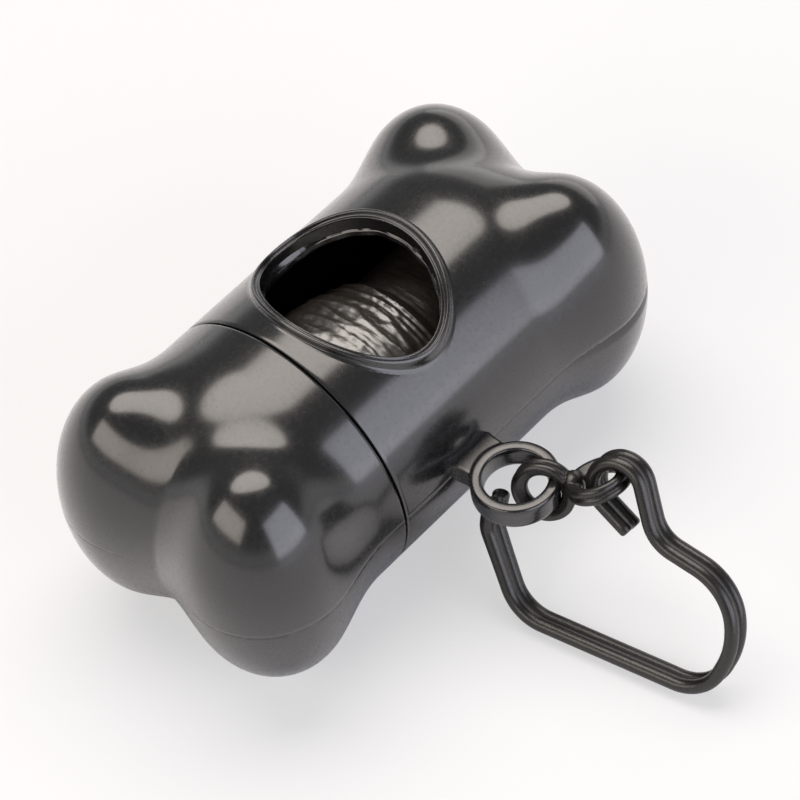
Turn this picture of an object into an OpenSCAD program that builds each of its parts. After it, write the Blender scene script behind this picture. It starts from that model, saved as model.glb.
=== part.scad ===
// Bone-shaped holder for a roll of waste bags. Each end is a pair of round lobes on a round barrel.
// The barrel and the screw cap are each moulded as an upper and a lower half, welded at mid-height.
// X runs along the bone with the cap at -X, the bag outlet faces +Z and the eyelet points to -Y.
// The origin is on the barrel's axis, half way between the two ends.

/* [Bone] */
// Outside radius of the round barrel
barrel_r = 20; // [18.5:0.5:22]
// Distance from the middle to where the barrel starts to round off
barrel_half = 17.8; // [16:0.2:22]
// Distance from the middle to the lobe centres, along the bone
lobe_x = 28.8; // [27:0.2:34]
// Distance of the lobe centres from the long axis
lobe_y = 10.6; // [9:0.2:13]
// Radius of a lobe seen from above
lobe_r = 11.4; // [10.5:0.1:13]
// Half height of a lobe
lobe_h = 18.5; // [17:0.1:19.5]
// Width of the blend between the lobes and the barrel
blend = 3.9; // [2.5:0.1:6]
// Width of the blend in the crease between two lobes
crease_blend = 2.5; // [1:0.1:4]
// Wall thickness of the moulded shells
wall = 1.8; // [1.5:0.1:2.2]

/* [Bag outlet] */
// Place of the outlet's centre along the bone
outlet_x = 1.4; // [0.5:0.1:4]
// Half length of the outlet, along the bone
outlet_a = 9.8; // [7:0.1:11]
// Half width of the outlet, across the bone
outlet_b = 12.6; // [9:0.1:14]
// Width of the rim round the outlet
rim_w = 1.8; // [1.5:0.1:3]
// Height of the rim's outer bead above the barrel
rim_h = 0.9; // [0.6:0.1:2]
// Depth that the rim's collar reaches below the shell's inner face
rim_depth = 0.9; // [0.4:0.1:2]

/* [Screw cap] */
// Place of the seam between body and cap
seam_x = -12.7; // [-15:0.1:-12.5]
// Gap left between the closed cap and the body
seam_gap = 0.25; // [0.15:0.05:0.5]
// Length of the neck that stands out of the body
neck_len = 8.4; // [6:0.2:10]
// Length of the neck's root that is bonded inside the body
neck_seat = 2.8; // [2:0.1:3]
// Depth of the neck's outside below the barrel's, under its thread
neck_step = 3.8; // [3.6:0.1:4.4]
// Wall thickness of the neck
neck_wall = 1.5; // [1.2:0.1:2]
// Height of the thread, for which the cap's ring leaves room
thread_h = 1.0; // [0.6:0.05:1.1]
// Length of the threaded ring in the cap
ring_len = 4.2; // [3.6:0.1:4.4]

/* [Eyelet] */
// Place of the eyelet along the bone
eyelet_x = 0; // [-4:0.5:4]
// Distance of the eyelet's centre from the barrel's side
eyelet_out = 7.3; // [7:0.1:10]
// Radius of the eyelet's hole
eyelet_hole_r = 4.2; // [3.9:0.1:5]
// Width of the eyelet's bar
eyelet_bar = 1.7; // [1.4:0.1:2]
// Thickness of the eyelet
eyelet_t = 3.4; // [2.6:0.1:3.6]
// Rounding of the eyelet's edges
eyelet_round = 0.8; // [0.3:0.05:0.8]
// Width of the foot that joins the eyelet to the barrel
foot_w = 6.6; // [5:0.2:8]
// Amount by which the foot widens towards the barrel, on each side
foot_flare = 0.5; // [0:0.1:1.5]
// Height by which the foot lies below the eyelet's face
foot_step = 0.15; // [0.1:0.05:0.4]

/* [Twisted link] */
// Inside radius of each loop of the link
link_r = 3.1; // [3:0.05:3.4]
// Diameter of the link's bar
link_bar = 1.6; // [1.3:0.05:1.7]
// Direction in which the link leaves the eyelet, about Z
link_yaw = -60.5; // [-75:0.5:-45]
// Angle at which the link rises
link_pitch = 23; // [15:1:30]
// Twist of the link about its own length
link_twist = -18; // [-25:1:-5]
// Distance of the link's first loop centre behind the eyelet's bar
link_back = 1.5; // [1.1:0.05:1.55]

/* [Clip] */
// Width of the clip's strip
clip_w = 4.0; // [3.4:0.1:4.2]
// Thickness of the two beads along the strip's edges
clip_bead = 1.9; // [1.5:0.1:2]
// Thickness of the web between the beads
clip_web = 1.2; // [0.8:0.1:1.5]
// Length of the clip's straight back
clip_back = 27.6; // [24:0.2:32]
// Height of the clip from its back to its front bar
clip_front = 17.8; // [16:0.2:20]
// Radius of the clip's eye, to the middle of the strip
eye_r = 3.5; // [3.2:0.1:4]
// Direction of the clip's back, about Z
clip_yaw = -80; // [-85:1:-75]
// Slope of the clip's plane
clip_slope = 65; // [60:1:70]

/* [Bag roll] */
// Width of the rolled film
roll_len = 57; // [50:0.5:60]
// Outside radius of the rolled film
roll_r = 12; // [8:0.1:12.4]
// Gap between the roll and the neck, on whose bore the roll lies
roll_gap = 0.5; // [0.3:0.05:0.8]
// Outside radius of the roll's core
core_r = 6.5; // [5:0.1:7]
// Wall thickness of the roll's core
core_wall = 0.9; // [0.5:0.1:1.5]

/* [Hidden] */

black = [0.07, 0.07, 0.075];
film_grey = [0.16, 0.155, 0.15];
core_grey = [0.55, 0.5, 0.42];

// Facets round half a barrel, over a lobed end, and along the barrel
around = 30;
over_end = 15;
blend_start = barrel_half - 5;
row_gap = 1;
// Start of the search for the surface, outside the bone, and its number of steps
far = 30;
steps = 26;

round_fn = 96;
bar_fn = 32;
ellipse_steps = 48;

// Gaps of a running fit, of a bonded joint and of the thread
running_gap = 0.08;
bond_gap = 0.05;
thread_gap = 0.12;

cap_x = seam_x - seam_gap;
counterbore = 0.3;
seat_r = barrel_r - wall + counterbore;
lead_in = 0.4;
neck_r = barrel_r - neck_step;
neck_bore_r = neck_r - neck_wall;
thread_bore_r = neck_r + thread_h + thread_gap;
roll_drop = neck_bore_r - roll_r - roll_gap;
eyelet_y = barrel_r + eyelet_out;

// ---- Bone surface ------------------------------------------------------------------------------

// Smooth minimum of two distances
function smooth_min(a, b, k) =
    let (h = min(max(0.5 + 0.5 * (b - a) / k, 0), 1))
    b * (1 - h) + a * h - k * h * (1 - h);

// Distance to one lobe, an ellipsoid centred on the +X end
function lobe_distance(x, y, z) =
    let (q = [(x - lobe_x) / lobe_r, y / lobe_r, z / lobe_h])
    let (slope = norm([q.x / lobe_r, q.y / lobe_r, q.z / lobe_h]))
    norm(q) * (norm(q) - 1) / slope;

// Distance to the bone's outer surface, less than zero inside
function bone_distance(p) =
    let (x = abs(p.x), y = abs(p.y))
    let (core = norm([max(x - barrel_half, 0), y, p.z]) - barrel_r)
    let (near_lobe = lobe_distance(x, y - lobe_y, p.z))
    let (far_lobe = lobe_distance(x, y + lobe_y, p.z))
    smooth_min(core, smooth_min(near_lobe, far_lobe, crease_blend), blend);

// Distance along direction d from point o to the surface that lies inset below the bone's skin
function reach(o, d, inset, r = far, left = steps) =
    left == 0 ? r : reach(o, d, inset, r - bone_distance(o + r * d) - inset, left - 1);

function surface_point(o, d, inset) = o + reach(o, d, inset) * d;

// Row of points round the upper half: centre at x = place, directions at angle tilt from the axis
function surface_row(place, tilt, inset) = [
    for (j = [0 : around])
        let (t = 180 * j / around)
        let (d = [cos(tilt), sin(tilt) * cos(t), sin(tilt) * sin(t)])
        surface_point([place, 0, 0], d, inset)];

// Rows over the lobed end, down to its pole
function end_rows(inset) = [
    for (i = [1 : over_end]) surface_row(barrel_half, 90 * (1 - i / over_end), inset)];

// Row of points on a half circle about the axis
function circle_row(place, r) = [
    for (j = [0 : around])
        let (t = 180 * j / around)
        [place, r * cos(t), r * sin(t)]];

// Closed half shell of the +X end, above z = 0, from the plane x = start. A counterbore of the
// given depth, with a sloping shoulder, widens its mouth for the ring that is seated there.
module half_shell(start, seat) {
    seat_end = start + seat;
    places = concat([seat_end + counterbore],
                    [for (x = [blend_start, barrel_half]) if (x > seat_end + row_gap) x]);
    outer = concat([for (x = concat([start, seat_end], places)) surface_row(x, 90, 0)], end_rows(0));
    inner = concat([circle_row(start, seat_r), circle_row(seat_end, seat_r)],
                   [for (x = places) surface_row(x, 90, wall)], end_rows(wall));
    rows = len(outer);
    cols = around + 1;
    size = rows * cols;
    points = [for (grid = [outer, inner]) for (row = grid) for (p = row) p];
    outside = [for (i = [0 : rows - 2]) for (j = [0 : around - 1])
        let (a = i * cols + j)
        each i < rows - 2
            ? [[a, a + cols + 1, a + 1], [a, a + cols, a + cols + 1]]
            : [[a, a + cols, a + 1]]];
    inside = [for (f = outside) [f[2] + size, f[1] + size, f[0] + size]];
    mouth = [for (j = [0 : around - 1]) each [[j + size, j + 1, j + 1 + size], [j + size, j, j + 1]]];
    sides = [for (i = [0 : rows - 2])
        let (a = i * cols)
        let (b = a + around)
        each [[a, a + cols + size, a + cols], [a, a + size, a + cols + size],
              [b + size, b + cols, b + cols + size], [b + size, b, b + cols]]];
    polyhedron(points, concat(outside, inside, mouth, sides), 6);
}

// ---- Shells ------------------------------------------------------------------------------------

// Point of the rim at ellipse angle t, offset outwards by e and raised by h above the barrel
function rim_point(t, e, h) =
    let (x = outlet_x + (outlet_a + e) * cos(t))
    let (y = (outlet_b + e) * sin(t))
    [x, y, sqrt(pow(barrel_r + h, 2) - y * y)];

// Section of the rim: inner lip, shallow step and raised outer bead, as shares of its width and height
function rim_section() = [
    [0, -wall - rim_depth], [0, rim_h * 0.3], [rim_w * 0.15, rim_h * 0.5], [rim_w * 0.3, rim_h * 0.55],
    [rim_w * 0.5, rim_h], [rim_w * 0.75, rim_h], [rim_w, rim_h * 0.25], [rim_w, -wall / 2],
    [rim_w * 0.6, -wall - rim_depth]];

module rim() {
    section = rim_section();
    n = len(section);
    points = [for (k = [0 : ellipse_steps - 1]) for (s = section)
        rim_point(360 * k / ellipse_steps, s[0], s[1])];
    faces = [for (k = [0 : ellipse_steps - 1]) for (j = [0 : n - 1])
        let (a = k * n + j, b = k * n + (j + 1) % n)
        let (c = ((k + 1) % ellipse_steps) * n + (j + 1) % n, d = ((k + 1) % ellipse_steps) * n + j)
        each [[a, c, b], [a, d, c]]];
    polyhedron(points, faces, 6);
}

module outlet_hole() {
    outline = [for (k = [0 : ellipse_steps - 1])
        let (t = 360 * k / ellipse_steps)
        [outlet_x + (outlet_a + rim_w / 2) * cos(t), (outlet_b + rim_w / 2) * sin(t)]];
    linear_extrude(barrel_r * 2) polygon(outline);
}

// Upper half of the eyelet and of its foot, down to the barrel's wall
module half_eyelet() {
    outer_r = eyelet_hole_r + eyelet_bar;
    half = eyelet_t / 2;
    foot_start = sqrt(pow(eyelet_bar_r, 2) - pow(foot_w / 2, 2));
    foot_end = eyelet_y - barrel_r + wall / 2;
    translate([eyelet_x, -eyelet_y, 0]) {
        rotate_extrude($fn = round_fn) difference() {
            union() {
                translate([eyelet_hole_r, 0]) square([eyelet_bar, half - eyelet_round]);
                translate([eyelet_hole_r + eyelet_round, 0]) square([eyelet_bar - 2 * eyelet_round, half]);
                for (r = [eyelet_hole_r + eyelet_round, outer_r - eyelet_round])
                    translate([r, half - eyelet_round]) circle(eyelet_round, $fn = bar_fn);
            }
            translate([0, -half]) square([outer_r * 2, half]);
        }
        linear_extrude(half - foot_step) polygon([
            [-foot_w / 2, foot_start], [foot_w / 2, foot_start],
            [foot_w / 2 + foot_flare, foot_end], [-foot_w / 2 - foot_flare, foot_end]]);
    }
}

module body_half() {
    half_shell(seam_x, neck_seat);
    half_eyelet();
}

module cap_half() {
    mirror([1, 0, 0]) half_shell(-cap_x, lead_in + ring_len + running_gap);
}

module body_upper_shell() {
    color(black) {
        difference() {
            body_half();
            outlet_hole();
        }
        rim();
    }
}

module body_lower_shell() {
    color(black) mirror([0, 0, 1]) body_half();
}

module cap_upper_shell() {
    color(black) cap_half();
}

module cap_lower_shell() {
    color(black) mirror([0, 0, 1]) cap_half();
}

// ---- Neck and threaded ring --------------------------------------------------------------------

module tube_x(from_x, to_x, outer_r, inner_r) {
    translate([from_x, 0, 0]) rotate([0, 90, 0]) rotate_extrude($fn = round_fn)
        translate([inner_r, 0]) square([outer_r - inner_r, to_x - from_x]);
}

// The neck, with the collar by which it is bonded into the body
module neck_ring() {
    color(black) {
        tube_x(seam_x - neck_len, seam_x + neck_seat - bond_gap, neck_r, neck_bore_r);
        tube_x(seam_x, seam_x + neck_seat - bond_gap, seat_r - bond_gap, neck_bore_r);
    }
}

module cap_thread_ring() {
    color(black)
        tube_x(cap_x - lead_in - ring_len, cap_x - lead_in, seat_r - running_gap, thread_bore_r);
}

// ---- Bag roll ----------------------------------------------------------------------------------

module roll_core() {
    color(core_grey) translate([0, 0, -roll_drop])
        tube_x(-roll_len / 2, roll_len / 2, core_r, core_r - core_wall);
}

module bag_roll() {
    color(film_grey) translate([0, 0, -roll_drop]) tube_x(-roll_len / 2, roll_len / 2, roll_r, core_r);
}

// ---- Twisted link ------------------------------------------------------------------------------

eyelet_bar_r = eyelet_hole_r + eyelet_bar / 2;
link_pivot = [eyelet_x + eyelet_bar_r * cos(link_yaw), -eyelet_y + eyelet_bar_r * sin(link_yaw), 0];
loop_step = 2 * link_r + link_bar;
link_knot = 0.68;

module loop() {
    rotate_extrude($fn = round_fn) translate([link_r + link_bar / 2, 0]) circle(link_bar / 2, $fn = bar_fn);
}

module twisted_link() {
    color(black) translate(link_pivot) rotate([link_twist, -link_pitch, link_yaw])
    translate([-link_back, 0, 0]) {
        rotate([90, 0, 0]) loop();
        translate([loop_step, 0, 0]) loop();
        translate([loop_step / 2, 0, 0]) sphere(link_bar * link_knot, $fn = bar_fn);
    }
}

// ---- Clip --------------------------------------------------------------------------------------

// Heights of the clip's beads over its mid-plane, and the lowest corner of the tilted strip
bead_z = (clip_w - clip_bead) / 2;
clip_low = bead_z * cos(clip_slope) + clip_bead / 2;
// The point of the link's outer bar that the clip's eye goes round
link_dir = [cos(link_pitch) * cos(link_yaw), cos(link_pitch) * sin(link_yaw), sin(link_pitch)];
outer_bar = link_pivot + link_dir * (1.5 * loop_step - link_back);
// Directions of the clip's back, of its height and across its plane
clip_u = [cos(clip_yaw), sin(clip_yaw), 0];
clip_s = [-sin(clip_yaw) * cos(clip_slope), cos(clip_yaw) * cos(clip_slope), sin(clip_slope)];
clip_across = cross(clip_u, clip_s);
// Place of the eye's centre from the bar that it goes round, in those three directions
eye_shift = [-0.4, -1.4, 0.2];
// Centre of the clip's eye, in space and in the clip's plane. The clip stands on its straight back,
// at the height of the barrel's underside.
eye_centre = outer_bar + eye_shift * [clip_u, clip_s, clip_across];
back_z = clip_low - barrel_r;
eye_s = (eye_centre.z - back_z) / clip_s.z;
eye_u = 6.4;
clip_origin = eye_centre - eye_u * clip_u - eye_s * clip_s;

// Turn of the eye between two of its corners, and where the strip runs into it
eye_turn = 71.2;
eye_start = 26.1;
function eye_corner(k) =
    let (a = eye_start + eye_turn * (k + 0.5))
    [eye_u + eye_r / cos(eye_turn / 2) * cos(a), eye_s + eye_r / cos(eye_turn / 2) * sin(a), eye_r];

// Fillet radii of the strip's bends, from its free tip to the bend before the eye
hook_r = 3;
heel_r = 6.5;
toe_r = 6;
nose_r = 11;
front_r = 6.5;
throat_r = 3.2;
// Corners of the strip's middle line, in the clip's plane, each with its fillet radius: the free tip,
// the straight back, the round nose, the front bar, the eye and the strip's end
tip_x = -10.4;
tip_y = 14.6;
tip_len = 4;
back_start = -4.2;
toe_x = clip_back - 4.2;
clip_corners = [
    [tip_x, tip_y, 0],
    [tip_x, tip_y - tip_len, hook_r],
    [back_start, 0, heel_r],
    [toe_x, 0, toe_r],
    [clip_back - 1.6, clip_front / 2 - 0.3, nose_r],
    [toe_x, clip_front - 1.6, front_r],
    [eye_u + 6.2, clip_front + 0.6, throat_r],
    eye_corner(0),
    eye_corner(1),
    eye_corner(2),
    [eye_u + 2.6, clip_front - 0.3, 0]];

function angle_of(v) = atan2(v.y, v.x);
function wrap(a) = a > 180 ? a - 360 : a < -180 ? a + 360 : a;

// Points of the arc that rounds corner b between a and c, about one for each step of turn
function corner_arc(a, b, c, r, turn_step) =
    let (h0 = angle_of(b - a), h1 = angle_of(c - b))
    let (turn = wrap(h1 - h0), side = sign(turn))
    let (back = r * tan(abs(turn) / 2))
    let (start = b - back * [cos(h0), sin(h0)])
    let (centre = start + side * r * [-sin(h0), cos(h0)])
    let (n = max(2, round(abs(turn) / turn_step)))
    [for (i = [0 : n])
        let (h = h0 + turn * i / n)
        [each centre + side * r * [sin(h), -cos(h)], h]];

// Middle line of the strip: [x, y, heading] at each station
function clip_line() =
    let (n = len(clip_corners))
    let (p = [for (c = clip_corners) [c[0], c[1]]])
    concat(
        [[each p[0], angle_of(p[1] - p[0])]],
        [for (i = [1 : n - 2]) each corner_arc(p[i - 1], p[i], p[i + 1], clip_corners[i][2], 15)],
        [[each p[n - 1], angle_of(p[n - 1] - p[n - 2])]]);

// Section of the strip: two round beads joined by a web, as [across the strip, over its plane]
web_z = bead_z - clip_bead * 0.3;
function clip_section() = concat(
    [for (a = [-60 : 40 : 60]) [clip_bead / 2 * sin(a), bead_z + clip_bead / 2 * cos(a)]],
    [[clip_web / 2, web_z], [clip_web / 2, -web_z]],
    [for (a = [120 : 40 : 240]) [clip_bead / 2 * sin(a), -bead_z + clip_bead / 2 * cos(a)]],
    [[-clip_web / 2, -web_z], [-clip_web / 2, web_z]]);

module clip_strip() {
    line = clip_line();
    section = clip_section();
    n = len(section);
    m = len(line);
    points = [for (l = line) for (s = section) [l[0] + s[0] * sin(l[2]), l[1] - s[0] * cos(l[2]), s[1]]];
    sides = [for (k = [0 : m - 2]) for (j = [0 : n - 1])
        let (a = k * n + j, b = k * n + (j + 1) % n)
        each [[a, b + n, b], [a, a + n, b + n]]];
    first = [for (j = [1 : n - 2]) [0, j, j + 1]];
    last = [for (j = [1 : n - 2]) [(m - 1) * n, (m - 1) * n + j + 1, (m - 1) * n + j]];
    polyhedron(points, concat(sides, first, last), 6);
}

module clip_hook() {
    color(black) translate(clip_origin) rotate([clip_slope, 0, clip_yaw]) clip_strip();
}

body_upper_shell();
body_lower_shell();
neck_ring();
cap_upper_shell();
cap_lower_shell();
cap_thread_ring();
roll_core();
bag_roll();
twisted_link();
clip_hook();
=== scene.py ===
"""Bone-shaped holder for a roll of waste bags, with a screw cap, a twisted link and an open clip.

The sizes in the classes are in millimetres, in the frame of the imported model: X along the bone with
the cap at -X, Z out of the bag outlet, and the eyelet at -Y. Each mesh is scaled to metres when it
becomes an object.
"""

import logging
import math
from collections.abc import Callable, Iterable, Sequence
from dataclasses import dataclass, field
from enum import Enum

import bmesh
import bpy
import numpy as np
from mathutils import Matrix, Vector, noise

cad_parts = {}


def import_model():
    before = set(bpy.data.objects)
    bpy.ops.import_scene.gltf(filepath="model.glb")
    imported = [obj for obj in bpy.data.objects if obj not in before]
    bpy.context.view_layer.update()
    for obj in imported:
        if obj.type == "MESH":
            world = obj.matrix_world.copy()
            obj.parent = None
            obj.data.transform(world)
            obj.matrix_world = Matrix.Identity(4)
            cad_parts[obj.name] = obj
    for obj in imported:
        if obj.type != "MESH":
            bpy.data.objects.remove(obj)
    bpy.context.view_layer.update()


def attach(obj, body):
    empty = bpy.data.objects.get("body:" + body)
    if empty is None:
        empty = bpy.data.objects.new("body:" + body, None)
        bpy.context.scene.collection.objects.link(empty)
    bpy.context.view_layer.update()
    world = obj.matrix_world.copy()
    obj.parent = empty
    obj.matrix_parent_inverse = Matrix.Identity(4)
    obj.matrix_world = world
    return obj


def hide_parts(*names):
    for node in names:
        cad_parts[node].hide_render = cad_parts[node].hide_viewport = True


LOG = logging.getLogger("bag_holder")
MM = 0.001

Mesh = bmesh.types.BMesh
Tree = bpy.types.NodeTree
Socket = bpy.types.NodeSocket
Object = bpy.types.Object
Place = Callable[[np.ndarray, np.ndarray], np.ndarray]


# ---- Finishes ----


def linear(hex_colour: str) -> tuple[float, float, float, float]:
    """Turn an sRGB hex colour into the linear colour that a shader socket takes.

    Args:
        hex_colour: six hex digits after a hash sign.

    Returns:
        Linear red, green, blue and an alpha of 1.
    """
    parts = [int(hex_colour[i : i + 2], 16) / 255 for i in (1, 3, 5)]
    low = 0.04045
    r, g, b = (c / 12.92 if c <= low else ((c + 0.055) / 1.055) ** 2.4 for c in parts)
    return (r, g, b, 1.0)


def add_node(
    tree: Tree, kind: str, inputs: dict[str, object] | None = None, **settings: object
) -> bpy.types.Node:
    """Add a shader node, set its properties, and fill its inputs with values or links.

    Args:
        tree: the node tree to add to.
        kind: the node's type name.
        inputs: socket name or number to a plain value, or to the output socket that feeds it.
        settings: values of the node's own properties.

    Returns:
        The new node.
    """
    node = tree.nodes.new(kind)
    for name, value in settings.items():
        setattr(node, name, value)
    for name, value in (inputs or {}).items():
        socket = node.inputs[int(name)] if name.isdigit() else node.inputs[name]
        if isinstance(value, bpy.types.NodeSocket):
            tree.links.new(value, socket)
        else:
            socket.default_value = value
    return node


class Surface(Enum):
    """How a moulded or wound surface breaks up the light."""

    POLISHED = "polished"
    SATIN = "satin"
    CRINKLED = "crinkled"
    PLAIN = "plain"


@dataclass(frozen=True)
class Finish:
    """One real material, with the look that its making gives it.

    The sizes of the patterns are in millimetres: the width of the soft waves in the surface, the
    width of its fine grain, and how deep each of them is.
    """

    name: str
    colour: str
    # second colour, mixed in by the soft waves; on the film it is painted sheen
    tone_and_painted_sheen_colour: str
    roughness: float
    roughness_spread: float
    ior: float
    surface: Surface
    wave: float
    wave_depth: float
    grain: float
    grain_depth: float
    dust: float = 0.0
    coat: float = 0.0
    coat_roughness: float = 0.1

    def material(self) -> bpy.types.Material:
        """Make the node material of this finish, on Object coordinates.

        Returns:
            The material.
        """
        found = bpy.data.materials.get(self.name)
        if found:
            return found
        made = bpy.data.materials.new(self.name)
        made.use_nodes = True
        tree = made.node_tree
        tree.nodes.clear()
        place = add_node(tree, "ShaderNodeTexCoord").outputs["Object"]
        patterns = []
        for at, width in ((self._stretched(tree, place), self.wave), (place, self.grain)):
            inputs = {"Vector": at, "Scale": 1 / (width * MM), "Detail": 2.0}
            patterns.append(add_node(tree, "ShaderNodeTexNoise", inputs).outputs["Fac"])
        waves, grain = patterns
        # The second colour follows the soft waves: a random tone on the mouldings and the core, and
        # painted sheen on the film
        inputs = {"0": waves, "6": linear(self.colour), "7": linear(self.tone_and_painted_sheen_colour)}
        colour = add_node(tree, "ShaderNodeMix", inputs, data_type="RGBA").outputs[2]
        if self.dust:
            colour = self._dusted(tree, place, colour)
        low, high = self.roughness - self.roughness_spread, self.roughness + self.roughness_spread
        usual_noise = {"From Min": 0.3, "From Max": 0.7}
        inputs = {"Value": grain, **usual_noise, "To Min": low, "To Max": high}
        roughness = add_node(tree, "ShaderNodeMapRange", inputs).outputs["Result"]
        bump: dict[str, object] = {}
        for height, depth in ((waves, self.wave_depth), (grain, self.grain_depth)):
            inputs = {"Height": height, "Distance": depth * MM, "Strength": 1.0, **bump}
            bump = {"Normal": add_node(tree, "ShaderNodeBump", inputs).outputs["Normal"]}
        inputs = {
            "Base Color": colour,
            "Roughness": roughness,
            "IOR": self.ior,
            "Coat Weight": self.coat,
            "Coat Roughness": self.coat_roughness,
            **bump,
        }
        shader = add_node(tree, "ShaderNodeBsdfPrincipled", inputs)
        add_node(tree, "ShaderNodeOutputMaterial", {"Surface": shader.outputs["BSDF"]})
        return made

    def _stretched(self, tree: Tree, place: Socket) -> Socket:
        """Stretch a wound film's waves round its roll, and leave a moulding's as they are.

        Args:
            tree: the node tree to add to.
            place: the socket with the piece's own coordinates.

        Returns:
            The socket with the coordinates that the waves read.
        """
        if self.surface is not Surface.CRINKLED:
            return place
        inputs = {"Vector": place, "Scale": (1.0, 0.22, 0.22)}
        return add_node(tree, "ShaderNodeMapping", inputs).outputs["Vector"]

    def _dusted(self, tree: Tree, place: Socket, colour: Socket) -> Socket:
        """Sprinkle a few pale specks of dust, a tenth of a millimetre across, over the colour.

        Args:
            tree: the node tree to add to.
            place: the socket with the piece's own coordinates.
            colour: the socket with the clean colour.

        Returns:
            The socket with the dusty colour.
        """
        speck_cell = 2.6
        speck_edge = {"From Min": 0.028, "From Max": 0.016}
        inputs = {"Vector": place, "Scale": 1 / (speck_cell * MM)}
        cells = add_node(tree, "ShaderNodeTexVoronoi", inputs).outputs["Distance"]
        inputs = {"Value": cells, **speck_edge, "To Max": self.dust}
        speck = add_node(tree, "ShaderNodeMapRange", inputs).outputs["Result"]
        inputs = {"0": speck, "6": colour, "7": linear("#8b8884")}
        return add_node(tree, "ShaderNodeMix", inputs, data_type="RGBA").outputs[2]


# Black polypropylene, injection moulded in a polished tool: mirror-like, with soft sink waves
MOULDED_PP = Finish(
    name="black polypropylene, moulded and polished",
    colour="#0e0e0f", tone_and_painted_sheen_colour="#141415",
    roughness=0.24, roughness_spread=0.05, ior=1.50, surface=Surface.POLISHED,
    wave=9.0, wave_depth=0.045, grain=0.6, grain_depth=0.0005,
    dust=0.12, coat=0.85, coat_roughness=0.155,
)
# Black acetal, moulded in a plain tool: satin, with fine grain and softer lights
MOULDED_ACETAL = Finish(
    name="black acetal, moulded satin",
    colour="#100f0e", tone_and_painted_sheen_colour="#191715",
    roughness=0.31, roughness_spread=0.06, ior=1.58, surface=Surface.SATIN,
    wave=2.4, wave_depth=0.05, grain=0.22, grain_depth=0.004,
)
# Blown black polyethylene film, wound up: silky, creased round the roll; its colours are lifted to
# warm grey, and lighter still on the crinkle waves, as painted sheen that stands in for its
# highlights
BAG_FILM = Finish(
    name="black polyethylene film, blown and wound",
    colour="#1e1b19", tone_and_painted_sheen_colour="#37322d",
    roughness=0.33, roughness_spread=0.06, ior=2.0, surface=Surface.CRINKLED,
    wave=0.9, wave_depth=0.14, grain=0.3, grain_depth=0.012,
    coat=0.9, coat_roughness=0.33,
)
# Grey polystyrene, extruded tube: dull and even
CORE_TUBE = Finish(
    name="grey polystyrene, extruded",
    colour="#8c867c", tone_and_painted_sheen_colour="#9a9489",
    roughness=0.50, roughness_spread=0.05, ior=1.55, surface=Surface.PLAIN,
    wave=6.0, wave_depth=0.02, grain=0.3, grain_depth=0.004,
)


# ---- Mesh helpers ----


def in_scene(name: str, data: bpy.types.ID) -> Object:
    """Make an object of a mesh, a light or a camera, and link it to the scene.

    Args:
        name: the object's name.
        data: what it shows.

    Returns:
        The object.
    """
    obj = bpy.data.objects.new(name, data)
    bpy.context.scene.collection.objects.link(obj)
    return obj


def mapped_grid(across: int, along: int, place: Place) -> Mesh:
    """Make a grid, lay it on a shape that closes on itself, and merge the doubled points.

    Args:
        across: number of faces in the first direction.
        along: number of faces in the second direction.
        place: gives the points for two arrays of shares from 0 to 1.

    Returns:
        The mesh.
    """
    bm = bmesh.new()
    bmesh.ops.create_grid(bm, x_segments=across, y_segments=along, size=0.5)
    flat = np.array([v.co[:2] for v in bm.verts]) + 0.5
    for vert, point in zip(bm.verts, place(flat[:, 0], flat[:, 1])):
        vert.co = point
    bmesh.ops.remove_doubles(bm, verts=bm.verts, dist=1e-4)
    return bm


def drawn_loop(
    bm: Mesh, points: Iterable[Sequence[float]]
) -> list[bmesh.types.BMVert | bmesh.types.BMEdge]:
    """Draw a closed polygon in the plane of X and Z.

    Args:
        bm: the mesh to draw in.
        points: the corners' x and z.

    Returns:
        The vertices and the edges.
    """
    verts = [bm.verts.new((x, 0, z)) for x, z in points]
    return verts + [bm.edges.new(pair) for pair in zip(verts, verts[1:] + verts[:1])]


def spin_round(
    bm: Mesh,
    geom: list[bmesh.types.BMVert | bmesh.types.BMEdge],
    axis: Sequence[float],
    steps: int,
) -> None:
    """Spin a section by a whole turn about an axis through the origin, normals outwards.

    Args:
        bm: the mesh.
        geom: the section's vertices and edges.
        axis: direction of the axis.
        steps: number of steps in the turn.
    """
    bmesh.ops.spin(
        bm, geom=geom, cent=(0, 0, 0), axis=axis, angle=math.tau, steps=steps, use_merge=True
    )
    bmesh.ops.recalc_face_normals(bm, faces=bm.faces)


def bevel_sharp(bm: Mesh, width: float, sharp: float = 40.0, near_x: float | None = None) -> None:
    """Round the sharp edges of a closed mesh.

    Args:
        bm: the mesh.
        width: width of the rounding, in millimetres.
        sharp: least angle between two faces, in degrees, at which their edge is rounded.
        near_x: if given, only edges that lie in this plane across X are rounded.
    """
    limit = math.radians(sharp)
    edges = [e for e in bm.edges if len(e.link_faces) == 2 and e.calc_face_angle() > limit]
    if near_x is not None:
        edges = [e for e in edges if all(abs(v.co.x - near_x) < 1e-3 for v in e.verts)]
    bmesh.ops.bevel(
        bm, geom=edges, offset=width, offset_type="OFFSET", segments=2, profile=0.5,
        affect="EDGES", clamp_overlap=True, material=-1,
    )


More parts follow.
